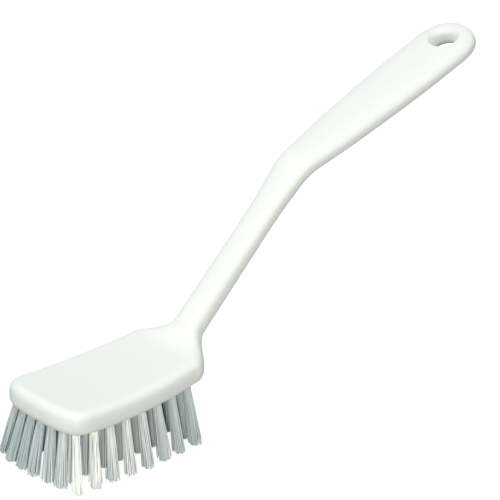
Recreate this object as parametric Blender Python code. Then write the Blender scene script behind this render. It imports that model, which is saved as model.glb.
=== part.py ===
"""Hand brush with a cranked handle.

The head block and the handle are one moulding in white polypropylene. Blind holes drilled into the
block's underside each hold a tuft of stiff, clear filaments, folded at its root.
Lengths are in metres. +X runs from the block's toe to the handle's end, +Y to the block's left and
+Z up. The trimmed tips stand on Z = 0, and the origin lies under the middle of the whole brush.
"""

from math import cos, pi, radians, sin, tau

import bmesh
import bpy
from mathutils import Matrix, Vector
from mathutils.geometry import delaunay_2d_cdt

# Centre line of the moulding, seen from the side
HEAD_LENGTH = 0.0788
NECK_BEND_RADIUS = 0.0278
SHANK_LENGTH = 0.0887
ELBOW_BEND_RADIUS = 0.0301
GRIP_LENGTH = 0.1156
TOE_PITCH = radians(-4.8)
HEEL_PITCH = radians(8.2)
SHANK_PITCH = radians(45.5)
GRIP_PITCH = radians(20.6)

# Head block: widths seen from above, thicknesses above and below the parting line
TOE_WIDTH = 0.0522
HEEL_WIDTH = 0.0480
SIDE_BOW = 0.0029
TOE_CURVE_DEPTH = 0.0147
HEEL_OVERHANG = 0.0023
BLOCK_TOP = 0.0059
BLOCK_BOTTOM = 0.0060
PARTING_DROP = 0.0019
BLOCK_TOP_EDGE = 0.0068
BLOCK_BOTTOM_EDGE = 0.0053

# Handle: its widths and depths from the neck to the grip
SHOULDER_LENGTH = 0.0193
NECK_WIDTH = 0.0156
NECK_DEPTH = 0.0115
SHANK_WIDTH = 0.0159
SHANK_DEPTH = 0.0096
ELBOW_WIDTH = 0.0203
GRIP_START_WIDTH = 0.0265
GRIP_WIDTH = 0.0323
GRIP_DEPTH = 0.0108
GRIP_END_DEPTH = 0.0103
GRIP_CURVE_DEPTH = 0.0192

# Hang hole through the end of the grip
HANG_HOLE_WIDTH = 0.0098
HANG_HOLE_FLARE = 0.0038
HANG_HOLE_WAIST_DROP = 0.0018
HANG_HOLE_FROM_END = 0.0142
HANG_HOLE_LIP = 0.0006

# Where along the shank, the elbow and the grip each of those widths and depths is reached
SHANK_SIZE_SHARE = 0.73
ELBOW_SIZE_SHARE = 0.5
GRIP_START_SHARE = 0.21
GRIP_DEPTH_SHARE = 0.4
GRIP_SIZE_SHARE = 0.75

# Roundness of the curves: 2 is an ellipse, and more is squarer
TOE_SQUARENESS = 3.2
GRIP_SQUARENESS = 2.4
EDGE_SQUARENESS = 3.1
HANDLE_SQUARENESS = 2.7

# How late the hang hole opens out on its way to each face: 1 is a cone, and more is rounder
HANG_HOLE_CURVE = 1.6

# Tufts and their holes
BRISTLE_LENGTH = 0.0286
HOLE_WIDTH = 0.0046
WALL_OVER_HOLES = 0.0042
TUFT_CLEARANCE = 0.0003
TUFT_RECESS = 0.0010
SIDE_INSET = 0.0050
TOE_INSET = 0.0050
CORNER_INSET = 0.0081
HEEL_INSET = 0.0025
SIDE_SPREAD = 0.0059
TOE_SPREAD = 0.0039
FAN_CENTRE_SHARE = 0.58
TOE_TUFTS = 7
SIDE_TUFTS = 8
HEEL_TUFTS = 5
INNER_TUFTS = 6
INNER_ROW_SHARE = 0.5

# Strands of a tuft, as shares of the tuft's radius at its root, and their spread at the tips
STRAND_RING_SHARES = ((3, 0.28), (7, 0.66))
STRAND_RADIUS_SHARE = 0.21
TIP_SPREAD_SHARE = 1.8
TIP_SIZE_SHARE = 1.2
STRAND_SIDES = 3

# Fineness of the meshes, and how far a cutter runs past what it cuts
RING_POINTS = 28
OUTLINE_POINTS = 160
HOLE_POINTS = 8
HANG_HOLE_POINTS = 20
HANG_HOLE_ROWS = 9
STATION_COUNTS = {"toe": 9, "head": 9, "shoulder": 12, "shank": 11, "elbow": 5, "grip": 7, "end": 9}
SMOOTH_ANGLE = radians(40)
CUT_OVERRUN = 0.002

# Lengths that follow from the sizes above
NECK_LENGTH = NECK_BEND_RADIUS * (SHANK_PITCH - HEEL_PITCH)
ELBOW_LENGTH = ELBOW_BEND_RADIUS * (SHANK_PITCH - GRIP_PITCH)
SHANK_START = HEAD_LENGTH + NECK_LENGTH
ELBOW_START = SHANK_START + SHANK_LENGTH
GRIP_START = ELBOW_START + ELBOW_LENGTH
TOTAL_LENGTH = GRIP_START + GRIP_LENGTH
SHOULDER_START = HEAD_LENGTH + HEEL_OVERHANG
SHOULDER_END = SHOULDER_START + SHOULDER_LENGTH
HOLE_DEPTH = BLOCK_TOP + BLOCK_BOTTOM - WALL_OVER_HOLES
TUFT_RADIUS = HOLE_WIDTH / 2 - TUFT_CLEARANCE
CENTRE_LINE = (
    (HEAD_LENGTH, TOE_PITCH, HEEL_PITCH),
    (NECK_LENGTH, HEEL_PITCH, SHANK_PITCH),
    (SHANK_LENGTH, SHANK_PITCH, SHANK_PITCH),
    (ELBOW_LENGTH, SHANK_PITCH, GRIP_PITCH),
    (GRIP_LENGTH, GRIP_PITCH, GRIP_PITCH),
)


def clear_scene():
    for obj in list(bpy.data.objects):
        bpy.data.objects.remove(obj, do_unlink=True)


def plastic(name, colour, roughness, transmission):
    """A plain plastic: its colour, how dull it is and how much light goes through."""
    material = bpy.data.materials.new(name)
    material.use_nodes = True
    shader = material.node_tree.nodes["Principled BSDF"]
    shader.inputs["Base Color"].default_value = (*colour, 1.0)
    shader.inputs["Roughness"].default_value = roughness
    shader.inputs["Metallic"].default_value = 0.0
    shader.inputs["Transmission Weight"].default_value = transmission
    material.diffuse_color = (*colour, 1.0)
    return material


def object_from(bm, name, material):
    """A mesh object of this name, its faces turned outwards and its round faces smooth."""
    bmesh.ops.recalc_face_normals(bm, faces=bm.faces)
    mesh = bpy.data.meshes.new(name)
    bm.to_mesh(mesh)
    bm.free()
    mesh.shade_smooth()
    mesh.set_sharp_from_angle(angle=SMOOTH_ANGLE)
    if material:
        mesh.materials.append(material)
    obj = bpy.data.objects.new(name, mesh)
    bpy.context.scene.collection.objects.link(obj)
    return obj


def cut(target, cutter):
    """Cuts one object with another, and leaves the cutter as a hidden helper."""
    cutter.hide_render = True
    cutter.display_type = "WIRE"
    boolean = target.modifiers.new(cutter.name, "BOOLEAN")
    boolean.operation = "DIFFERENCE"
    boolean.solver = "EXACT"
    boolean.object = cutter


def eased(start, end, station):
    """0 before start and 1 after end, with a smooth rise between."""
    share = min(max((station - start) / (end - start), 0.0), 1.0)
    return share * share * (3 - 2 * share)


def mixed(first, second, share):
    return first + (second - first) * share


def through(points, station):
    """A smooth curve through (station, size) points that never overshoots them."""
    if station <= points[0][0]:
        return points[0][1]
    if station >= points[-1][0]:
        return points[-1][1]
    rises = [(b[1] - a[1]) / (b[0] - a[0]) for a, b in zip(points, points[1:])]
    slopes = [0.0]
    for before, after in zip(rises, rises[1:]):
        slopes.append(2 * before * after / (before + after) if before * after > 0 else 0.0)
    slopes.append(0.0)
    i = next(k for k in range(len(rises)) if station <= points[k + 1][0])
    span = points[i + 1][0] - points[i][0]
    share = (station - points[i][0]) / span
    rise = points[i + 1][1] - points[i][1]
    return (
        points[i][1]
        + rise * share * share * (3 - 2 * share)
        + span * share * (1 - share) * (slopes[i] * (1 - share) - slopes[i + 1] * share)
    )


def rounded(share, squareness):
    """Height of a rounded end at this share of its depth: 0 at its tip and 1 where it is full."""
    share = min(max(share, 0.0), 1.0)
    return (1 - (1 - share) ** squareness) ** (1 / squareness)


def centre_line(station):
    """X, Z and pitch of the centre line at this distance from the toe."""
    x, z, pitch = 0.0, BRISTLE_LENGTH + BLOCK_BOTTOM + PARTING_DROP, TOE_PITCH
    for length, first, last in CENTRE_LINE:
        run = min(station, length)
        turn = (last - first) * run / length
        chord = run * sin(turn / 2) / (turn / 2) if turn else run
        x += chord * cos(first + turn / 2)
        z += chord * sin(first + turn / 2)
        pitch = first + turn
        station -= run
        if station <= 0:
            break
    return x, z, pitch


def half_width(station):
    """Half of the moulding's width at this distance from the toe."""
    share = min(station / HEAD_LENGTH, 1.0)
    block = mixed(TOE_WIDTH, HEEL_WIDTH, share) + SIDE_BOW * 4 * share * (1 - share)
    handle = through(
        (
            (SHOULDER_END, NECK_WIDTH),
            (SHANK_START + SHANK_LENGTH * SHANK_SIZE_SHARE, SHANK_WIDTH),
            (ELBOW_START + ELBOW_LENGTH * ELBOW_SIZE_SHARE, ELBOW_WIDTH),
            (GRIP_START + GRIP_LENGTH * GRIP_START_SHARE, GRIP_START_WIDTH),
            (GRIP_START + GRIP_LENGTH * GRIP_SIZE_SHARE, GRIP_WIDTH),
        ),
        station,
    )
    width = mixed(block, handle, eased(SHOULDER_START, SHOULDER_END, station))
    toe = rounded(station / TOE_CURVE_DEPTH, TOE_SQUARENESS)
    end = rounded((TOTAL_LENGTH - station) / GRIP_CURVE_DEPTH, GRIP_SQUARENESS)
    return width / 2 * toe * end


def half_depths(station):
    """The moulding's full thickness above and below its parting line."""
    handle = through(
        (
            (SHOULDER_END, NECK_DEPTH),
            (SHANK_START + SHANK_LENGTH * SHANK_SIZE_SHARE, SHANK_DEPTH),
            (ELBOW_START + ELBOW_LENGTH * ELBOW_SIZE_SHARE, SHANK_DEPTH),
            (GRIP_START + GRIP_LENGTH * GRIP_DEPTH_SHARE, GRIP_DEPTH),
            (TOTAL_LENGTH - HANG_HOLE_FROM_END, GRIP_END_DEPTH),
        ),
        station,
    )
    share = eased(SHOULDER_START, SHOULDER_END, station)
    return mixed(BLOCK_TOP, handle / 2, share), mixed(BLOCK_BOTTOM, handle / 2, share)


def parting_line(station):
    """Place on the parting line, which runs below the centre line in the block, and the way up from it."""
    x, z, pitch = centre_line(station)
    up = Vector((-sin(pitch), 0.0, cos(pitch)))
    drop = PARTING_DROP * (1 - eased(SHOULDER_START, SHOULDER_END, station))
    return Vector((x, 0.0, z)) - up * drop, up


def spaced(start, end, count, ease_in=False, ease_out=False):
    """Stations from start to just before end, closer together at an eased end."""
    for i in range(count):
        share = i / count
        if ease_in:
            share = 1 - cos(share * pi / 2)
        if ease_out:
            share = sin(share * pi / 2)
        yield mixed(start, end, share)


def stations():
    """Where the moulding's cross-sections lie, between its two tips."""
    counts = STATION_COUNTS
    end_start = TOTAL_LENGTH - GRIP_CURVE_DEPTH
    found = [
        *spaced(0.0, TOE_CURVE_DEPTH, counts["toe"], ease_in=True),
        *spaced(TOE_CURVE_DEPTH, HEAD_LENGTH, counts["head"]),
        *spaced(HEAD_LENGTH, SHOULDER_END, counts["shoulder"]),
        *spaced(SHOULDER_END, ELBOW_START, counts["shank"]),
        *spaced(ELBOW_START, GRIP_START, counts["elbow"]),
        *spaced(GRIP_START, end_start, counts["grip"]),
        *spaced(end_start, TOTAL_LENGTH, counts["end"], ease_out=True),
    ]
    return found[1:]


def outline():
    """The moulding's plan, laid flat along its centre line: one side from the toe to the end."""
    points = []
    for i in range(OUTLINE_POINTS + 1):
        station = mixed(0.0, TOTAL_LENGTH, i / OUTLINE_POINTS)
        points.append(Vector((station, half_width(station))))
    toe = [Vector((s, half_width(s))) for s in spaced(0.0, TOE_CURVE_DEPTH, RING_POINTS, ease_in=True)]
    end_start = TOTAL_LENGTH - GRIP_CURVE_DEPTH
    end = [Vector((s, half_width(s))) for s in spaced(end_start, TOTAL_LENGTH, RING_POINTS, ease_out=True)]
    return sorted(points + toe + end, key=lambda point: point.x)


def distance_to(edge, point):
    """Distance from a point inside the plan to its edge."""
    nearest = None
    for a, b in zip(edge, edge[1:]):
        along = b - a
        if not along.length_squared:
            continue
        share = min(max((point - a).dot(along) / along.length_squared, 0.0), 1.0)
        gap = (point - a - along * share).length
        nearest = gap if nearest is None else min(nearest, gap)
    return nearest


def ring_at(station, edge):
    """One cross-section: its points run from +Y over the top to -Y and back underneath."""
    middle, up = parting_line(station)
    width = half_width(station)
    top, bottom = half_depths(station)
    handle_share = eased(SHOULDER_START, SHOULDER_END, station)
    squareness = mixed(EDGE_SQUARENESS, HANDLE_SQUARENESS, handle_share)
    points = []
    for i in range(RING_POINTS):
        angle = tau * i / RING_POINTS
        across = cos(angle)
        side = abs(across) ** (2 / squareness) * width
        depth, edge_width = (top, BLOCK_TOP_EDGE) if sin(angle) >= 0 else (bottom, BLOCK_BOTTOM_EDGE)
        edge_width = mixed(edge_width, width, handle_share)
        inside = 0.0 if i in (0, RING_POINTS // 2) else distance_to(edge, Vector((station, side)))
        height = depth * rounded(inside / edge_width, squareness)
        place = middle + Vector((0.0, side if across >= 0 else -side, 0.0))
        points.append(place + up * (height if sin(angle) >= 0 else -height))
    return points


def moulding(material):
    """Head block and handle in one: a skin over cross-sections, closed at both tips."""
    bm = bmesh.new()
    edge = outline()
    rings = [[bm.verts.new(point) for point in ring_at(station, edge)] for station in stations()]
    for first, second in zip(rings, rings[1:]):
        for i in range(RING_POINTS):
            j = (i + 1) % RING_POINTS
            bm.faces.new((first[i], first[j], second[j], second[i]))
    for ring, station in ((rings[0], 0.0), (rings[-1], TOTAL_LENGTH)):
        tip = bm.verts.new(parting_line(station)[0])
        for i in range(RING_POINTS):
            bm.faces.new((ring[i], ring[(i + 1) % RING_POINTS], tip))
    return object_from(bm, "moulding", material)


def hang_hole_cutter():
    """A waisted plug across the grip: narrow a little under the parting line and flared to both faces."""
    station = TOTAL_LENGTH - HANG_HOLE_FROM_END
    x, z, pitch = centre_line(station)
    reach = max(half_depths(station)) + HANG_HOLE_LIP
    profile = []
    for i in range(HANG_HOLE_ROWS):
        share = mixed(-1, 1, i / (HANG_HOLE_ROWS - 1))
        room = reach + HANG_HOLE_WAIST_DROP if share > 0 else reach - HANG_HOLE_WAIST_DROP
        radius = HANG_HOLE_WIDTH / 2 + HANG_HOLE_FLARE * abs(share) ** HANG_HOLE_CURVE
        profile.append((radius, share * room - HANG_HOLE_WAIST_DROP))
    widest = profile[-1][0]
    profile = [(widest, -reach - CUT_OVERRUN), *profile, (widest, reach + CUT_OVERRUN)]
    bm = bmesh.new()
    rings = []
    for radius, height in profile:
        made = bmesh.ops.create_circle(
            bm, segments=HANG_HOLE_POINTS, radius=radius, matrix=Matrix.Translation((0.0, 0.0, height))
        )
        rings.append(made["verts"])
    for first, second in zip(rings, rings[1:]):
        for i in range(HANG_HOLE_POINTS):
            j = (i + 1) % HANG_HOLE_POINTS
            bm.faces.new((first[i], first[j], second[j], second[i]))
    bm.faces.new(rings[0])
    bm.faces.new(rings[-1])
    cutter = object_from(bm, "hang_hole_cutter", None)
    cutter.location = (x, 0.0, z)
    cutter.rotation_euler = (0.0, -pitch, 0.0)
    return cutter


def side_row_at(station):
    """How far from the middle the side rows of holes run."""
    return half_width(station) - SIDE_INSET


def tuft_roots():
    """Name, distance from the toe and distance from the middle of each tuft's hole."""
    last = HEAD_LENGTH - HEEL_INSET
    corner = side_row_at(CORNER_INSET)
    for i in range(TOE_TUFTS):
        share = 2 * i / (TOE_TUFTS - 1) - 1
        yield f"toe_tuft_{i + 1}", mixed(TOE_INSET, CORNER_INSET, share * share), corner * share
    for name, side in (("right", -1), ("left", 1)):
        for i in range(1, SIDE_TUFTS):
            station = mixed(CORNER_INSET, last, i / (SIDE_TUFTS - 1))
            yield f"{name}_tuft_{i}", station, side * side_row_at(station)
    for i in range(HEEL_TUFTS):
        share = 2 * (i + 1) / (HEEL_TUFTS + 1) - 1
        yield f"heel_tuft_{i + 1}", last, side_row_at(last) * share
    pitch = (last - CORNER_INSET) / (SIDE_TUFTS - 1)
    for i in range(INNER_TUFTS):
        middle = mixed(CORNER_INSET + pitch, last - pitch, i / (INNER_TUFTS - 1))
        yield f"middle_tuft_{i + 1}", middle, 0.0
        station = mixed(CORNER_INSET + pitch / 2, last - 1.5 * pitch, i / (INNER_TUFTS - 1))
        for name, side in (("right", -1), ("left", 1)):
            yield f"{name}_inner_tuft_{i + 1}", station, side * side_row_at(station) * INNER_ROW_SHARE


def tuft_line(station, side):
    """Where a tuft leaves the underside, and the middle of its trimmed tips."""
    middle, up = parting_line(station)
    root = middle - up * half_depths(station)[1] + Vector((0.0, side, 0.0))
    fan_centre = HEAD_LENGTH * FAN_CENTRE_SHARE
    forward = TOE_SPREAD * (station - fan_centre) / (fan_centre - TOE_INSET)
    outward = SIDE_SPREAD * side / side_row_at(CORNER_INSET)
    return root, Vector((root.x + forward, side + outward, 0.0))


def across(axis):
    """Two directions square to a tuft's axis: close to +X and close to +Y."""
    sideways = axis.cross(Vector((1.0, 0.0, 0.0))).normalized()
    return sideways.cross(axis), sideways


def holes_cutter(lines):
    """All the blind holes as one cutter: a round plug along each tuft's axis."""
    bm = bmesh.new()
    for root, tip in lines:
        axis = (root - tip).normalized()
        first, second = across(axis)
        ends = []
        for place in (root - axis * CUT_OVERRUN, root + axis * HOLE_DEPTH):
            ring = []
            for i in range(HOLE_POINTS):
                angle = tau * i / HOLE_POINTS
                spoke = first * cos(angle) + second * sin(angle)
                ring.append(bm.verts.new(place + spoke * (HOLE_WIDTH / 2)))
            ends.append(ring)
        for i in range(HOLE_POINTS):
            j = (i + 1) % HOLE_POINTS
            bm.faces.new((ends[0][i], ends[0][j], ends[1][j], ends[1][i]))
        bm.faces.new(ends[0])
        bm.faces.new(ends[1])
    return object_from(bm, "tuft_holes_cutter", None)


def strand_corners(ring_share, ring_turn, size):
    """Corners of one strand's section, on a tuft of radius 1."""
    middle = Vector((cos(ring_turn), sin(ring_turn))) * ring_share
    for k in range(STRAND_SIDES):
        angle = ring_turn + tau * k / STRAND_SIDES
        yield middle + Vector((cos(angle), sin(angle))) * size


def tuft(name, root, tip, material):
    """One tuft: strands that part towards their flat-cut tips, fused to the packed root in the hole."""
    axis = (root - tip).normalized()
    first, second = across(axis)
    packed_end = root + axis * (HOLE_DEPTH - TUFT_CLEARANCE)
    mouth = root + axis * TUFT_RECESS

    rim = [Vector((cos(tau * i / HOLE_POINTS), sin(tau * i / HOLE_POINTS))) for i in range(HOLE_POINTS)]
    flat, tips, strands = list(rim), [None] * HOLE_POINTS, []
    for count, share in STRAND_RING_SHARES:
        for i in range(count):
            turn = tau * i / count
            corners = list(strand_corners(share, turn, STRAND_RADIUS_SHARE))
            ends = strand_corners(share * TIP_SPREAD_SHARE, turn, STRAND_RADIUS_SHARE * TIP_SIZE_SHARE)
            strands.append(tuple(range(len(flat), len(flat) + STRAND_SIDES)))
            flat += corners
            tips += list(ends)
    edges = [(i, (i + 1) % HOLE_POINTS) for i in range(HOLE_POINTS)]
    for strand in strands:
        edges += list(zip(strand, strand[1:] + strand[:1]))
    # The root's face is divided so that each strand's section is a face of its own.
    places, _, faces, sources, _, _ = delaunay_2d_cdt(flat, edges, [], 0, TUFT_CLEARANCE**2)

    bm = bmesh.new()
    face_verts = [
        bm.verts.new(mouth + (first * place.x + second * place.y) * TUFT_RADIUS) for place in places
    ]
    made_from = {source: vert for vert, group in zip(face_verts, sources) for source in group}
    whole_strands = [frozenset(strand) for strand in strands]
    for face in faces:
        origins = frozenset(sources[i][0] for i in face)
        if origins not in whole_strands:
            bm.faces.new([face_verts[i] for i in face])
    for strand in strands:
        ends = []
        for i in strand:
            ends.append(bm.verts.new(tip + Vector((*tips[i], 0.0)) * TUFT_RADIUS))
        for k in range(STRAND_SIDES):
            n = (k + 1) % STRAND_SIDES
            bm.faces.new((made_from[strand[k]], made_from[strand[n]], ends[n], ends[k]))
        bm.faces.new(ends)
    inner = [bm.verts.new(packed_end + (first * p.x + second * p.y) * TUFT_RADIUS) for p in rim]
    for i in range(HOLE_POINTS):
        j = (i + 1) % HOLE_POINTS
        bm.faces.new((made_from[i], made_from[j], inner[j], inner[i]))
    bm.faces.new(inner)
    return object_from(bm, name, material)


def centre_on_origin(objects):
    """Moves everything so that the origin is under the middle of the brush's length."""
    bpy.context.view_layer.update()
    shown = [obj for obj in objects if not obj.hide_render]
    reach = [(obj.matrix_world @ vert.co).x for obj in shown for vert in obj.data.vertices]
    middle = (min(reach) + max(reach)) / 2
    for obj in objects:
        obj.location.x -= middle


def main():
    clear_scene()
    white = plastic("white_polypropylene", (0.86, 0.88, 0.86), 0.35, 0.0)
    clear = plastic("clear_filament", (0.72, 0.75, 0.74), 0.3, 0.2)
    body = moulding(white)
    lines = {name: tuft_line(station, side) for name, station, side in tuft_roots()}
    cutters = [hang_hole_cutter(), holes_cutter(lines.values())]
    for cutter in cutters:
        cut(body, cutter)
    tufts = [tuft(name, root, tip, clear) for name, (root, tip) in lines.items()]
    centre_on_origin([body, *cutters, *tufts])


main()
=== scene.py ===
# %% [markdown]
# # A hand brush with a cranked handle
# The brush has two kinds of piece: one white moulding, whose flat block runs into a bent handle,
# and forty-four tufts of clear filament set in drilled holes under the block. The solid model
# holds every size and place. This lesson gives the same pieces the surfaces that the eye sees: a
# smooth skin for the moulding, a real bundle of thin filaments for each tuft, and a plastic that
# lets a little light in.

# %% Load the solid model
import random
from math import ceil, cos, pi, radians, sin, sqrt, tau

import bmesh
import bpy
import numpy as np
from mathutils import Matrix, Vector


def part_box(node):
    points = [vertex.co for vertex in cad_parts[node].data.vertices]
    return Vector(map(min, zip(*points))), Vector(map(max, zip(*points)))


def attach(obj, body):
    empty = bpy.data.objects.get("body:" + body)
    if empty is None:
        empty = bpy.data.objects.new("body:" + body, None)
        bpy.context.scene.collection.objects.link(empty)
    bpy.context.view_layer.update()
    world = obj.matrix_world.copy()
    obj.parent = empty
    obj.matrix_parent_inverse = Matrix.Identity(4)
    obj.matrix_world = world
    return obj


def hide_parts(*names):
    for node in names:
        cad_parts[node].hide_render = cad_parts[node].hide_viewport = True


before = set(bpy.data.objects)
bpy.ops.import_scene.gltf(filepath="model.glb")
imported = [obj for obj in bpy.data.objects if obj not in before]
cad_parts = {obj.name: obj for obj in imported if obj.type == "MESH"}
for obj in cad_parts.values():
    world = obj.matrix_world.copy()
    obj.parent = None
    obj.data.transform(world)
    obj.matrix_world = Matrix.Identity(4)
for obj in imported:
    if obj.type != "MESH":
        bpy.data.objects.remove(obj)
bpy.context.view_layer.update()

# %% [markdown]
# ## The camera
# The photograph looks down on the brush from its front right corner, through a long lens, so
# lines that are parallel on the brush stay nearly parallel in the picture. The camera could be
# placed by eye, but a turn, a lift, a roll and a distance from one aimed point are four numbers
# that can be measured and put right one at a time.

# %% Place the camera
CAMERA_AIM = Vector((-0.00143, 0.00173, 0.07654))
CAMERA_DISTANCE = 1.7442
CAMERA_TURN = radians(44.187)
CAMERA_LIFT = radians(24.848)
CAMERA_ROLL = radians(2.554)
CAMERA_LENS = 260.73  # in millimetres, as is the sensor's width
CAMERA_SENSOR = 36.0

scene = bpy.context.scene
camera_data = bpy.data.cameras.new("camera")
camera_data.lens = CAMERA_LENS
camera_data.sensor_width = CAMERA_SENSOR
camera = bpy.data.objects.new("camera", camera_data)
scene.collection.objects.link(camera)
forward = Vector((
    sin(CAMERA_TURN) * cos(CAMERA_LIFT),
    cos(CAMERA_TURN) * cos(CAMERA_LIFT),
    -sin(CAMERA_LIFT),
))
camera.location = CAMERA_AIM - forward * CAMERA_DISTANCE
level = forward.to_track_quat("-Z", "Y").to_matrix()
camera.rotation_euler = (level @ Matrix.Rotation(CAMERA_ROLL, 3, "Z")).to_euler()
scene.camera = camera
print("the camera stands at", tuple(round(v, 3) for v in camera.location))

# %% [markdown]
# ## Floor, sky and lamps
# A catalogue picture like this one is taken on white. The floor and the sky look white to the
# camera, but the light that they throw on the brush, and what its gloss reflects of them, is
# weaker than white. That is what lets the pale plastic show its rounded edges. A grey room would
# do the same, but its background would be grey too, so the Light Path node tells the kinds of
# ray apart. A broad panel above lights the top. A small lamp stands low beside the camera and
# lights the sides and the tufts.

# %% Node helpers
PURE_WHITE = (1.0, 1.0, 1.0, 1.0)
REFLECTED_GLOW = 0.17  # how much of the white is left for rays that the gloss sends out


def add_node(tree, kind, **values):
    """Adds a node to the tree of a material or of the sky, with its named inputs or settings."""
    node = tree.nodes.new(kind)
    for name, value in values.items():
        socket = node.inputs.get(name.replace("_", " "))
        if socket is not None:
            socket.default_value = value
        else:
            setattr(node, name, value)
    return node


def seen_directly(tree):
    """A socket that is 1 for rays from the camera or through clear matter, and small for gloss."""
    path = add_node(tree, "ShaderNodeLightPath")
    either = add_node(tree, "ShaderNodeMath", operation="MAXIMUM")
    tree.links.new(path.outputs["Is Camera Ray"], either.inputs[0])
    tree.links.new(path.outputs["Is Transmission Ray"], either.inputs[1])
    glint = add_node(tree, "ShaderNodeMath", operation="MULTIPLY_ADD")
    tree.links.new(path.outputs["Is Glossy Ray"], glint.inputs[0])
    glint.inputs[1].default_value = REFLECTED_GLOW
    tree.links.new(either.outputs[0], glint.inputs[2])
    return glint.outputs[0]


# %% White sky
SKY_COLOUR = (0.97, 0.99, 1.0, 1.0)
SKY_LIGHT = 0.62

scene.view_settings.view_transform = "Standard"

world = bpy.data.worlds.new("white_sky")
scene.world = world
world.use_nodes = True
sky = world.node_tree
sky.nodes.clear()
shown_sky = add_node(sky, "ShaderNodeBackground", Color=PURE_WHITE, Strength=1.0)
lit_sky = add_node(sky, "ShaderNodeBackground", Color=SKY_COLOUR, Strength=SKY_LIGHT)
choice = add_node(sky, "ShaderNodeMixShader")
sky.links.new(seen_directly(sky), choice.inputs["Fac"])
sky.links.new(lit_sky.outputs[0], choice.inputs[1])
sky.links.new(shown_sky.outputs[0], choice.inputs[2])
sky.links.new(choice.outputs[0], add_node(sky, "ShaderNodeOutputWorld").inputs["Surface"])
print("the sky's light has a strength of", SKY_LIGHT)

# %% White floor
FLOOR_RADIUS = 8.0
FLOOR_SIDES = 96
FLOOR_COLOUR = (0.30, 0.31, 0.30, 1.0)
FLOOR_GLOW = 0.92

bm = bmesh.new()
bmesh.ops.create_circle(bm, segments=FLOOR_SIDES, radius=FLOOR_RADIUS, cap_ends=True)
floor_mesh = bpy.data.meshes.new("floor")
bm.to_mesh(floor_mesh)
bm.free()
floor = bpy.data.objects.new("floor", floor_mesh)
scene.collection.objects.link(floor)

floor_material = bpy.data.materials.new("white_floor")
floor_material.use_nodes = True
tree = floor_material.node_tree
tree.nodes.clear()
paper = add_node(tree, "ShaderNodeBsdfDiffuse", Color=FLOOR_COLOUR)
glow = add_node(tree, "ShaderNodeEmission", Color=PURE_WHITE, Strength=FLOOR_GLOW)
dark = add_node(tree, "ShaderNodeEmission", Strength=0.0)
only_seen = add_node(tree, "ShaderNodeMixShader")
tree.links.new(seen_directly(tree), only_seen.inputs["Fac"])
tree.links.new(dark.outputs[0], only_seen.inputs[1])
tree.links.new(glow.outputs[0], only_seen.inputs[2])
both = add_node(tree, "ShaderNodeAddShader")
tree.links.new(paper.outputs[0], both.inputs[0])
tree.links.new(only_seen.outputs[0], both.inputs[1])
tree.links.new(both.outputs[0], add_node(tree, "ShaderNodeOutputMaterial").inputs["Surface"])
floor_mesh.materials.append(floor_material)
print("the floor is", 2 * FLOOR_RADIUS, "m across")

# %% Soft lamps
LAMPS = {
    "top_panel": {
        "at": (-0.6, 0.1, 1.5), "size": 1.0, "watts": 11.6, "colour": (1.0, 1.0, 0.99),
    },
    "front_panel": {
        "at": (-1.05, -1.2, 0.06), "size": 0.10, "watts": 8.8, "colour": (1.0, 0.945, 0.83),
    },
}
for name, lamp in LAMPS.items():
    data = bpy.data.lights.new(name, "AREA")
    data.shape = "DISK"
    data.size = lamp["size"]
    data.energy = lamp["watts"]
    data.color = lamp["colour"]
    panel = bpy.data.objects.new(name, data)
    panel.location = lamp["at"]
    panel.rotation_euler = (CAMERA_AIM - panel.location).to_track_quat("-Z", "Y").to_euler()
    scene.collection.objects.link(panel)
    print(name, "stands", round((panel.location - CAMERA_AIM).length, 2), "m from the brush")

# %% [markdown]
# ## The moulding's centre line
# The mould maker draws such a brush from the side first: a nearly level block, a tight bend at
# the neck, a straight shank, an easy bend at the elbow and a straight grip. A Bezier curve could
# follow that line, but its bends would be flatter or tighter than true arcs. Here each stretch
# is an arc with its own length and its own pitch at both ends, and a place on the line is a
# distance along it.

# %% Sizes of the centre line
MM = 1000  # in a metre, for the sizes that are printed

TOE_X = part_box("moulding")[0].x
UNDERSIDE_Z = 0.0286
BLOCK_TOP, BLOCK_BOTTOM = 0.0059, 0.0060
PARTING_DROP = 0.0019
TOE_PITCH, HEEL_PITCH = radians(-4.8), radians(8.2)
SHANK_PITCH, GRIP_PITCH = radians(45.5), radians(20.6)
HEAD_LENGTH, SHANK_LENGTH, GRIP_LENGTH = 0.0788, 0.0887, 0.1156
NECK_BEND_RADIUS, ELBOW_BEND_RADIUS = 0.0278, 0.0301
HEEL_OVERHANG, SHOULDER_LENGTH = 0.0023, 0.0193
NECK_LENGTH = NECK_BEND_RADIUS * (SHANK_PITCH - HEEL_PITCH)
ELBOW_LENGTH = ELBOW_BEND_RADIUS * (SHANK_PITCH - GRIP_PITCH)
CENTRE_LINE = (
    (HEAD_LENGTH, TOE_PITCH, HEEL_PITCH),
    (NECK_LENGTH, HEEL_PITCH, SHANK_PITCH),
    (SHANK_LENGTH, SHANK_PITCH, SHANK_PITCH),
    (ELBOW_LENGTH, SHANK_PITCH, GRIP_PITCH),
    (GRIP_LENGTH, GRIP_PITCH, GRIP_PITCH),
)
SHANK_START = HEAD_LENGTH + NECK_LENGTH
ELBOW_START = SHANK_START + SHANK_LENGTH
GRIP_START = ELBOW_START + ELBOW_LENGTH
TOTAL_LENGTH = GRIP_START + GRIP_LENGTH
SHOULDER_START = HEAD_LENGTH + HEEL_OVERHANG
SHOULDER_END = SHOULDER_START + SHOULDER_LENGTH
print("the bends are", round(MM * NECK_LENGTH, 1), "and", round(MM * ELBOW_LENGTH, 1), "mm long")

# %% Follow the centre line
def eased(start, end, station):
    """0 before start and 1 after end, with a smooth rise between."""
    share = min(max((station - start) / (end - start), 0.0), 1.0)
    return share * share * (3 - 2 * share)


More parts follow.
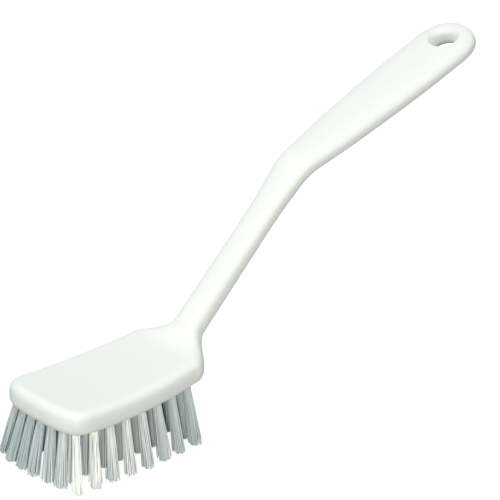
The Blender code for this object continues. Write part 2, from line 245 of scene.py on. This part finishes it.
def mixed(first, second, share):
    """The value that lies this share of the way from first to second."""
    return first + (second - first) * share


def centre_line(station):
    """X, Z and pitch of the centre line at this distance from the toe."""
    x, z, pitch = TOE_X, UNDERSIDE_Z + BLOCK_BOTTOM + PARTING_DROP, TOE_PITCH
    for length, first, last in CENTRE_LINE:
        run = min(station, length)
        turn = (last - first) * run / length
        chord = run * sin(turn / 2) / (turn / 2) if turn else run
        x += chord * cos(first + turn / 2)
        z += chord * sin(first + turn / 2)
        pitch = first + turn
        station -= run
        if station <= 0:
            break
    return x, z, pitch


def parting_line(station):
    """Place on the parting line, with the way along it and the way up from it."""
    x, z, pitch = centre_line(station)
    along = Vector((cos(pitch), 0.0, sin(pitch)))
    up = Vector((-sin(pitch), 0.0, cos(pitch)))
    drop = PARTING_DROP * (1 - eased(SHOULDER_START, SHOULDER_END, station))
    return Vector((x, 0.0, z)) - up * drop, along, up


print("the centre line is", round(MM * TOTAL_LENGTH, 1), "mm long and ends",
      round(MM * centre_line(TOTAL_LENGTH)[1]), "mm above the floor")

# %% [markdown]
# ## Widths and thicknesses
# Seen from above, the block is a rounded slab, the neck is as thin as a finger, and the grip
# swells towards a round end. A few sizes at chosen places, joined by a curve that never
# overshoots them, give that outline. Sculpting would too, but then no size could be changed
# afterwards.

# %% Sizes across the moulding
TOE_WIDTH, HEEL_WIDTH, SIDE_BOW = 0.0522, 0.0480, 0.0029
TOE_CURVE, TOE_SQUARENESS = 0.0147, 3.2
GRIP_CURVE, GRIP_SQUARENESS = 0.0192, 2.4
NECK_WIDTH, SHANK_WIDTH, ELBOW_WIDTH = 0.0156, 0.0159, 0.0203
GRIP_START_WIDTH, GRIP_WIDTH = 0.0265, 0.0323
NECK_DEPTH, SHANK_DEPTH, GRIP_DEPTH, GRIP_END_DEPTH = 0.0115, 0.0096, 0.0108, 0.0103
HANG_HOLE_FROM_END = 0.0142
# How far along its own stretch each size is measured
SHANK_SIZE_SHARE, ELBOW_SIZE_SHARE = 0.73, 0.5
GRIP_START_SHARE, GRIP_DEPTH_SHARE, GRIP_SIZE_SHARE = 0.21, 0.4, 0.75

SHANK_SIZE_AT = SHANK_START + SHANK_SIZE_SHARE * SHANK_LENGTH
ELBOW_SIZE_AT = ELBOW_START + ELBOW_SIZE_SHARE * ELBOW_LENGTH
HANG_HOLE_AT = TOTAL_LENGTH - HANG_HOLE_FROM_END
HANDLE_WIDTHS = (
    (SHOULDER_END, NECK_WIDTH),
    (SHANK_SIZE_AT, SHANK_WIDTH),
    (ELBOW_SIZE_AT, ELBOW_WIDTH),
    (GRIP_START + GRIP_START_SHARE * GRIP_LENGTH, GRIP_START_WIDTH),
    (GRIP_START + GRIP_SIZE_SHARE * GRIP_LENGTH, GRIP_WIDTH),
)
HANDLE_DEPTHS = (
    (SHOULDER_END, NECK_DEPTH),
    (SHANK_SIZE_AT, SHANK_DEPTH),
    (ELBOW_SIZE_AT, SHANK_DEPTH),
    (GRIP_START + GRIP_DEPTH_SHARE * GRIP_LENGTH, GRIP_DEPTH),
    (HANG_HOLE_AT, GRIP_END_DEPTH),
)

# %% Width and thickness at any station
def through(points, station):
    """A smooth curve through (station, size) points that never overshoots them."""
    if station <= points[0][0]:
        return points[0][1]
    if station >= points[-1][0]:
        return points[-1][1]
    rises = [(b[1] - a[1]) / (b[0] - a[0]) for a, b in zip(points, points[1:])]
    slopes = [0.0]
    for before, after in zip(rises, rises[1:]):
        slopes.append(2 * before * after / (before + after) if before * after > 0 else 0.0)
    slopes.append(0.0)
    i = next(k for k in range(len(rises)) if station <= points[k + 1][0])
    span = points[i + 1][0] - points[i][0]
    share = (station - points[i][0]) / span
    rise = points[i + 1][1] - points[i][1]
    bend = slopes[i] * (1 - share) - slopes[i + 1] * share
    climb = rise * share * share * (3 - 2 * share)
    return points[i][1] + climb + span * share * (1 - share) * bend


def rounded(share, squareness):
    """Height of a rounded end at this share of its depth: 0 at its tip and 1 where it is full."""
    share = min(max(share, 0.0), 1.0)
    return (1 - (1 - share) ** squareness) ** (1 / squareness)


def half_width(station):
    """Half of the moulding's width at this distance from the toe."""
    share = min(station / HEAD_LENGTH, 1.0)
    block = mixed(TOE_WIDTH, HEEL_WIDTH, share) + SIDE_BOW * 4 * share * (1 - share)
    handle = through(HANDLE_WIDTHS, station)
    width = mixed(block, handle, eased(SHOULDER_START, SHOULDER_END, station))
    toe = rounded(station / TOE_CURVE, TOE_SQUARENESS)
    end = rounded((TOTAL_LENGTH - station) / GRIP_CURVE, GRIP_SQUARENESS)
    return width / 2 * toe * end


def half_depths(station):
    """Thickness above and below the parting line, away from the rounded edges."""
    handle = through(HANDLE_DEPTHS, station) / 2
    share = eased(SHOULDER_START, SHOULDER_END, station)
    return mixed(BLOCK_TOP, handle, share), mixed(BLOCK_BOTTOM, handle, share)


PLACES = {"block": HEAD_LENGTH / 2, "neck": SHOULDER_END, "grip": HANDLE_WIDTHS[-1][0]}
for place, station in PLACES.items():
    print(place, "is", round(2 * MM * half_width(station), 1), "mm wide and",
          round(MM * sum(half_depths(station)), 1), "mm thick")

# %% [markdown]
# ## The skin
# The real block has a flat top and a soft edge that keeps the same radius all the way round its
# corners. A Bevel modifier could round a sharp slab, but the slab would have to be cut away to
# the handle first. Here the height of each point follows from its distance to the outline
# instead: zero at the parting line, full height one edge radius inside it. Rings of such points,
# a millimetre apart, make one clean skin from the toe to the grip's end. Where the two halves of
# the mould meet, the real surface keeps a hair-thin raised line, so the outermost points are
# pushed out by less than a tenth of a millimetre.

# %% Where the cross-sections lie
OUTLINE_SPACING, OUTLINE_END_COUNT = 0.0008, 90


def spread(start, end, count, ease=None):
    """Stations from start to just before end, drawn together at the eased end."""
    for i in range(count):
        share = i / count
        if ease == "in":
            share = 1 - cos(share * pi / 2)
        if ease == "out":
            share = sin(share * pi / 2)
        yield mixed(start, end, share)


def ring_stations(toe_count, end_count, spacing):
    """Where the cross-sections lie: closer together at the two rounded ends."""
    end_start = TOTAL_LENGTH - GRIP_CURVE
    middle_count = ceil((end_start - TOE_CURVE) / spacing)
    found = [
        *spread(0.0, TOE_CURVE, toe_count, "in"),
        *spread(TOE_CURVE, end_start, middle_count),
        *spread(end_start, TOTAL_LENGTH, end_count, "out"),
    ]
    return found[1:]


outline_stations = ring_stations(OUTLINE_END_COUNT, OUTLINE_END_COUNT, OUTLINE_SPACING)
outline = np.array([(s, half_width(s)) for s in [0.0, *outline_stations, TOTAL_LENGTH]])


def distance_to_outline(station, sides):
    """How far points on one cross-section lie inside the plan's outline."""
    start, run = outline[:-1], np.diff(outline, axis=0)
    points = np.stack([np.full(len(sides), station), sides], axis=1)[:, None]
    share = np.clip(((points - start) * run).sum(2) / (run * run).sum(1), 0.0, 1.0)
    return np.linalg.norm(points - start - run * share[..., None], axis=2).min(1)


print("the outline has", len(outline), "points on each side")

# %% One cross-section
EDGE_TOP, EDGE_BOTTOM = 0.0068, 0.0053
EDGE_SQUARENESS, HANDLE_SQUARENESS = 3.1, 2.7
RING_HALF_POINTS = 44
PARTING_RIDGE = 0.00006
RIDGE_ANGLE = 0.016
SLOPE_STEP = 1e-5


def ring_angles():
    """Angles round a cross-section, three of them close together at each parting ridge."""
    half = [0.0, RIDGE_ANGLE, *np.linspace(0.0, pi, RING_HALF_POINTS + 1)[1:-1], pi - RIDGE_ANGLE]
    return half + [pi + angle for angle in half]


def ring_at(station):
    """One cross-section, from the left side over the top to the right and back underneath."""
    middle, along, up = parting_line(station)
    width, (top, bottom) = half_width(station), half_depths(station)
    handle_share = eased(SHOULDER_START, SHOULDER_END, station)
    squareness = mixed(EDGE_SQUARENESS, HANDLE_SQUARENESS, handle_share)
    angles = ring_angles()
    sides = np.array([abs(cos(angle)) ** (2 / squareness) * width for angle in angles])
    inside = distance_to_outline(station, sides)
    widening = 0.0
    if width:
        wider = half_width(station + SLOPE_STEP) - half_width(station - SLOPE_STEP)
        widening = wider / (2 * SLOPE_STEP)
    outward = Vector((1.0, -widening)).normalized()
    points = []
    for angle, side, distance in zip(angles, sides, inside):
        hand = 1 if cos(angle) >= 0 else -1
        if angle in (0.0, pi):
            place = middle + Vector((0.0, hand * (side + outward.x * PARTING_RIDGE), 0.0))
            points.append(place + along * (outward.y * PARTING_RIDGE))
            continue
        over = sin(angle) > 0
        depth, edge = (top, EDGE_TOP) if over else (bottom, EDGE_BOTTOM)
        height = depth * rounded(distance / mixed(edge, width, handle_share), squareness)
        rise = up * (height if over else -height)
        points.append(middle + Vector((0.0, hand * side, 0.0)) + rise)
    return points


print("a cross-section has", len(ring_angles()), "points")

# %% Mesh helpers
def new_object(bm, name):
    """A smooth mesh object from a finished bmesh, with its faces turned outwards."""
    bmesh.ops.recalc_face_normals(bm, faces=bm.faces)
    mesh = bpy.data.meshes.new(name)
    bm.to_mesh(mesh)
    bm.free()
    mesh.shade_smooth()
    obj = bpy.data.objects.new(name, mesh)
    scene.collection.objects.link(obj)
    return obj


def join_rings(bm, first, second):
    """A band of four-sided faces between two rings of as many points."""
    count = len(first)
    for i in range(count):
        j = (i + 1) % count
        bm.faces.new((first[i], first[j], second[j], second[i]))


# %% Build the skin
RING_SPACING, TOE_RINGS, END_RINGS = 0.0009, 22, 30

bm = bmesh.new()
rings = [[bm.verts.new(point) for point in ring_at(station)]
         for station in ring_stations(TOE_RINGS, END_RINGS, RING_SPACING)]
for first, second in zip(rings, rings[1:]):
    join_rings(bm, first, second)
for ring, station in ((rings[0], 0.0), (rings[-1], TOTAL_LENGTH)):
    tip = bm.verts.new(parting_line(station)[0])
    for i in range(len(ring)):
        bm.faces.new((ring[i], ring[(i + 1) % len(ring)], tip))
skin = new_object(bm, "moulded_body")
print("the skin has", len(rings), "rings of", len(rings[0]), "points")

# %% [markdown]
# ## The drilled holes and the hang hole
# The blind holes are drilled along each tuft, so they fan out with it. The hang hole is moulded:
# it is narrowest a little under the middle of the wall and opens out to both faces, so that it
# slips over a hook. The skin could be knitted round each opening by hand, but Boolean modifiers
# cut them all from the same sizes. Their cutters are a set of cylinders and one turned plug.

# %% Where each tuft stands
SIDE_INSET = TOE_INSET = 0.0050
CORNER_INSET, HEEL_INSET = 0.0081, 0.0025
SIDE_SPREAD, TOE_SPREAD = 0.0059, 0.0039
FAN_CENTRE_SHARE = 0.58
FAN_CENTRE = FAN_CENTRE_SHARE * HEAD_LENGTH
TOE_TUFTS, SIDE_TUFTS, HEEL_TUFTS, INNER_TUFTS = 7, 8, 5, 6
HOLE_WIDTH, WALL_OVER_HOLES = 0.0046, 0.0042
HOLE_DEPTH = BLOCK_TOP + BLOCK_BOTTOM - WALL_OVER_HOLES


def side_row_at(station):
    """How far from the middle the side rows of holes run."""
    return half_width(station) - SIDE_INSET


def tuft_roots():
    """Name, distance from the toe and distance from the middle of each tuft's hole."""
    last = HEAD_LENGTH - HEEL_INSET
    corner = side_row_at(CORNER_INSET)
    for i in range(TOE_TUFTS):
        share = 2 * i / (TOE_TUFTS - 1) - 1
        yield f"toe_tuft_{i + 1}", mixed(TOE_INSET, CORNER_INSET, share * share), corner * share
    for name, side in (("right", -1), ("left", 1)):
        for i in range(1, SIDE_TUFTS):
            station = mixed(CORNER_INSET, last, i / (SIDE_TUFTS - 1))
            yield f"{name}_tuft_{i}", station, side * side_row_at(station)
    for i in range(HEEL_TUFTS):
        share = 2 * (i + 1) / (HEEL_TUFTS + 1) - 1
        yield f"heel_tuft_{i + 1}", last, side_row_at(last) * share
    pitch = (last - CORNER_INSET) / (SIDE_TUFTS - 1)
    for i in range(INNER_TUFTS):
        middle = mixed(CORNER_INSET + pitch, last - pitch, i / (INNER_TUFTS - 1))
        yield f"middle_tuft_{i + 1}", middle, 0.0
        station = mixed(CORNER_INSET + pitch / 2, last - 1.5 * pitch, i / (INNER_TUFTS - 1))
        for name, side in (("right", -1), ("left", 1)):
            yield f"{name}_inner_tuft_{i + 1}", station, side * side_row_at(station) / 2


def tuft_line(station, side):
    """Where a tuft leaves the underside, and the middle of its trimmed tips."""
    middle, _, up = parting_line(station)
    root = middle - up * half_depths(station)[1] + Vector((0.0, side, 0.0))
    forward = TOE_SPREAD * (station - FAN_CENTRE) / (FAN_CENTRE - TOE_INSET)
    outward = SIDE_SPREAD * side / side_row_at(CORNER_INSET)
    return root, Vector((root.x + forward, side + outward, 0.0))


tuft_lines = {name: tuft_line(station, side) for name, station, side in tuft_roots()}
print(len(tuft_lines), "tufts, in holes", round(MM * HOLE_DEPTH, 1), "mm deep")

# %% Drill the tuft holes
HOLE_SIDES = 24
OVERRUN = 0.002  # how far each cutter reaches past the skin


def cut(target, cutter):
    """Cuts one object with another and keeps the result in the target's mesh."""
    boolean = target.modifiers.new(cutter.name, "BOOLEAN")
    boolean.operation = "DIFFERENCE"
    boolean.solver = "EXACT"
    boolean.object = cutter
    graph = bpy.context.evaluated_depsgraph_get()
    finished = bpy.data.meshes.new_from_object(target.evaluated_get(graph))
    target.modifiers.clear()
    target.data = finished
    bpy.data.objects.remove(cutter)


bm = bmesh.new()
for root, tip in tuft_lines.values():
    axis = (root - tip).normalized()
    turned = axis.to_track_quat("Z", "X").to_matrix().to_4x4()
    middle = root + axis * (HOLE_DEPTH - OVERRUN) / 2
    bmesh.ops.create_cone(
        bm, cap_ends=True, segments=HOLE_SIDES, radius1=HOLE_WIDTH / 2, radius2=HOLE_WIDTH / 2,
        depth=HOLE_DEPTH + OVERRUN, matrix=Matrix.Translation(middle) @ turned,
    )
cut(skin, new_object(bm, "drill"))
print("the drilled skin has", len(skin.data.polygons), "faces")

# %% Cut the hang hole
HANG_HOLE_WIDTH, HANG_HOLE_FLARE, HANG_HOLE_LIP = 0.0098, 0.0038, 0.0006
HANG_HOLE_WAIST_DROP, HANG_HOLE_CURVE = 0.0018, 1.6
HANG_HOLE_ROWS, HANG_HOLE_SIDES = 25, 64
SKIN_SHARP_ANGLE = radians(35)

hang_x, hang_z, hang_pitch = centre_line(HANG_HOLE_AT)
reach = max(half_depths(HANG_HOLE_AT)) + HANG_HOLE_LIP
profile = []
for i in range(HANG_HOLE_ROWS):
    share = mixed(-1, 1, i / (HANG_HOLE_ROWS - 1))
    room = reach + HANG_HOLE_WAIST_DROP if share > 0 else reach - HANG_HOLE_WAIST_DROP
    radius = HANG_HOLE_WIDTH / 2 + HANG_HOLE_FLARE * abs(share) ** HANG_HOLE_CURVE
    profile.append((radius, share * room - HANG_HOLE_WAIST_DROP))
widest = profile[-1][0]
profile = [(widest, -reach - OVERRUN), *profile, (widest, reach + OVERRUN)]
bm = bmesh.new()
rings = []
for radius, height in profile:
    turned = Matrix.Rotation(-hang_pitch, 4, "Y") @ Matrix.Translation((0.0, 0.0, height))
    place = Matrix.Translation((hang_x, 0.0, hang_z)) @ turned
    circle = bmesh.ops.create_circle(bm, segments=HANG_HOLE_SIDES, radius=radius, matrix=place)
    rings.append(circle["verts"])
for first, second in zip(rings, rings[1:]):
    join_rings(bm, first, second)
bm.faces.new(rings[0])
bm.faces.new(rings[-1])
cut(skin, new_object(bm, "hang_plug"))
skin.data.shade_smooth()
skin.data.set_sharp_from_angle(angle=SKIN_SHARP_ANGLE)
print("the cut skin has", len(skin.data.polygons), "faces")

# %% [markdown]
# ## White polypropylene
# The moulding is satin, not glossy: the mould was blasted to a very fine grain. A little light
# enters the plastic and comes out a few millimetres away, which softens the shade at its edges.
# Plain colour with gloss would look like paint, so the material uses subsurface scattering, and
# low noise moves its colour, its roughness and its surface by very little.

# %% Make the white plastic
WHITE = (0.84, 0.87, 0.84, 1.0)
WHITE_IN_CLOUDS = (0.82, 0.86, 0.82, 1.0)
PLASTIC_IOR = 1.49
LIGHT_LET_IN = 0.25
LIGHT_REACH = 0.003  # how far the light gets inside the plastic, in metres
REACH_BY_COLOUR = (1.0, 1.0, 0.9)
CLOUD_SCALE, CLOUD_DETAIL = 28.0, 3.0
GRAIN_SCALE, GRAIN_DETAIL = 2600.0, 2.0
LEAST_ROUGH, MOST_ROUGH = 0.42, 0.52
GRAIN_STRENGTH, GRAIN_HEIGHT = 0.10, 0.0001


def principled(name):
    """A new material, its tree and its shader."""
    material = bpy.data.materials.new(name)
    material.use_nodes = True
    tree = material.node_tree
    return material, tree, tree.nodes["Principled BSDF"]


white_plastic, tree, shader = principled("white_polypropylene")
shader.inputs["IOR"].default_value = PLASTIC_IOR
shader.inputs["Subsurface Weight"].default_value = LIGHT_LET_IN
shader.inputs["Subsurface Radius"].default_value = REACH_BY_COLOUR
shader.inputs["Subsurface Scale"].default_value = LIGHT_REACH
where = add_node(tree, "ShaderNodeTexCoord")
cloud = add_node(tree, "ShaderNodeTexNoise", Scale=CLOUD_SCALE, Detail=CLOUD_DETAIL)
grain = add_node(tree, "ShaderNodeTexNoise", Scale=GRAIN_SCALE, Detail=GRAIN_DETAIL)
for noise in (cloud, grain):
    tree.links.new(where.outputs["Object"], noise.inputs["Vector"])
tint = add_node(tree, "ShaderNodeMix", data_type="RGBA")
tint.inputs["A"].default_value = WHITE
tint.inputs["B"].default_value = WHITE_IN_CLOUDS
tree.links.new(cloud.outputs["Fac"], tint.inputs["Factor"])
tree.links.new(tint.outputs["Result"], shader.inputs["Base Color"])
gloss = add_node(tree, "ShaderNodeMapRange", To_Min=LEAST_ROUGH, To_Max=MOST_ROUGH)
tree.links.new(cloud.outputs["Fac"], gloss.inputs["Value"])
tree.links.new(gloss.outputs["Result"], shader.inputs["Roughness"])
bump = add_node(tree, "ShaderNodeBump", Strength=GRAIN_STRENGTH, Distance=GRAIN_HEIGHT)
tree.links.new(grain.outputs["Fac"], bump.inputs["Height"])
tree.links.new(bump.outputs["Normal"], shader.inputs["Normal"])
print("material:", white_plastic.name)

# %% Dress the moulding
skin.data.materials.clear()
skin.data.materials.append(white_plastic)
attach(skin, "root")
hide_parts("moulding")
print("white plastic on", skin.name)

# %% [markdown]
# ## Filament
# The bristles are clear filament, a little milky. A glass-like shader would show the white floor
# through each tuft and lose it, while in the photograph a tuft reads as a grey-blue ribbon, and
# near the front corner as a cream one with bright threads. So the filament here lets nothing
# through. Its own shade runs from grey-blue to pale grey, and the Random Per Island output picks
# one for each filament. The cream and the bright threads are its gloss, which has a warm tint.
# The cut ends are dull, and their dark grey is painted shade for the shadow that falls on the
# tips.

# %% Make the filament
FILAMENT_IOR, FILAMENT_ROUGHNESS = 1.56, 0.25
WARM_GLOSS = (1.0, 0.93, 0.86, 1.0)
GREY_BLUE = (0.48, 0.60, 0.64, 1.0)
PALE_GREY = (0.73, 0.80, 0.81, 1.0)
# painted shade: the cut ends' dark grey stands in for the shadow on the tips; their roughness is
# real
CUT_END_PAINTED_SHADE, CUT_END_ROUGHNESS = (0.25, 0.26, 0.27, 1.0), 0.6

filament, tree, shader = principled("clear_filament")
shader.inputs["Roughness"].default_value = FILAMENT_ROUGHNESS
shader.inputs["IOR"].default_value = FILAMENT_IOR
shader.inputs["Specular Tint"].default_value = WARM_GLOSS
each = add_node(tree, "ShaderNodeNewGeometry")
shade = add_node(tree, "ShaderNodeMix", data_type="RGBA")
shade.inputs["A"].default_value = GREY_BLUE
shade.inputs["B"].default_value = PALE_GREY
tree.links.new(each.outputs["Random Per Island"], shade.inputs["Factor"])
tree.links.new(shade.outputs["Result"], shader.inputs["Base Color"])

# the cut ends: real dullness in the roughness, painted shade in the dark grey
dull_and_shaded_end, tree, shader = principled("cut_filament_end_dull_and_shaded")
shader.inputs["Roughness"].default_value = CUT_END_ROUGHNESS
shader.inputs["Base Color"].default_value = CUT_END_PAINTED_SHADE
print("materials:", filament.name, dull_and_shaded_end.name)

# %% [markdown]
# ## The tufts
# A tuft is about forty filaments, folded in the middle and driven into its hole, so some eighty
# ends stand out of it. Sixty-four of them fill a tuft here. They leave the hole tightly packed
# and part on the way down, and the trimmer leaves them not quite equal. Hair particles would be
# quick, but they are curves that few other programs read, so each filament is a thin tube, on a
# bowed line of its own. Its six flat sides are turned a little, so that one of them nearly faces
# halfway between the camera and the low lamp: the tufts that lean that way then shine, and the
# others stay grey-blue.

# %% One filament's tube
FILAMENT_WIDTH = 0.00052
FILAMENT_SIDES = 6
FACET_TURN = radians(6.5)


def tube(bm, points, width):
    """A closed tube along the points. Its last cap is a cut end."""
    rings = []
    for before, point, after in zip([points[0], *points], points, [*points[1:], points[-1]]):
        way = (after - before).normalized()
        across = way.cross(Vector((1.0, 0.0, 0.0))).normalized()
        other = way.cross(across)
        ring = []
        for i in range(FILAMENT_SIDES):
            angle = tau * i / FILAMENT_SIDES + FACET_TURN
            spoke = across * cos(angle) + other * sin(angle)
            ring.append(bm.verts.new(point + spoke * (width / 2)))
        rings.append(ring)
    for first, second in zip(rings, rings[1:]):
        join_rings(bm, first, second)
    bm.faces.new(rings[0])
    bm.faces.new(rings[-1]).material_index = 1


# %% One filament's line
FILAMENT_SHARES = (-0.16, 0.0, 0.2, 0.45, 0.72, 1.0)  # below 0 is inside the hole
WALL_GAP = 0.0004  # from the hole's wall to the middle of the outermost filament
PACKED_RADIUS = HOLE_WIDTH / 2 - WALL_GAP
TIP_RADIUS = 0.0030
TIP_SPREAD_SHARES = (0.85, 1.12)
UNEVEN, DOMED = 0.0014, 0.0012
BOW = 0.0004


def filament_points(root, tip, turn, share, dice):
    """One filament's line, from inside the hole to its trimmed end."""
    axis = (root - tip).normalized()
    sideways = axis.cross(Vector((1.0, 0.0, 0.0))).normalized()
    lengthways = sideways.cross(axis)
    spoke = lengthways * cos(turn) + sideways * sin(turn)
    flat_spoke = Vector((cos(turn), sin(turn), 0.0))
    start = root + spoke * (PACKED_RADIUS * share)
    end = tip + flat_spoke * (TIP_RADIUS * share * dice.uniform(*TIP_SPREAD_SHARES))
    end += Vector((
        dice.gauss(0, BOW),
        dice.gauss(0, BOW),
        UNEVEN * dice.random() ** 2 + DOMED * share ** 4,
    ))
    bow = flat_spoke * (BOW * dice.uniform(-1.0, 1.0))
    points = []
    for along in FILAMENT_SHARES:
        if along < 0:
            points.append(start + axis * (-along * (root - tip).length))
        else:
            points.append(start.lerp(end, along) + bow * sin(pi * along))
    return points


# %% Build the tufts
FILAMENTS = 64
LEAN = 0.0004
GOLDEN_TURN = pi * (3 - sqrt(5))
FILAMENT_SHARP_ANGLE = radians(50)

for number, (name, (root, tip)) in enumerate(tuft_lines.items()):
    dice = random.Random(number)
    tip = tip + Vector((dice.gauss(0, LEAN), dice.gauss(0, LEAN), 0.0))
    bm = bmesh.new()
    for i in range(FILAMENTS):
        share = sqrt((i + 0.5) / FILAMENTS)
        tube(bm, filament_points(root, tip, i * GOLDEN_TURN, share, dice), FILAMENT_WIDTH)
    tuft = new_object(bm, f"{name}_filaments")
    tuft.data.set_sharp_from_angle(angle=FILAMENT_SHARP_ANGLE)
    tuft.data.materials.append(filament)
    tuft.data.materials.append(dull_and_shaded_end)
    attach(tuft, "root")
    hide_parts(name)
print(len(tuft_lines), "tufts of", FILAMENTS, "filaments")
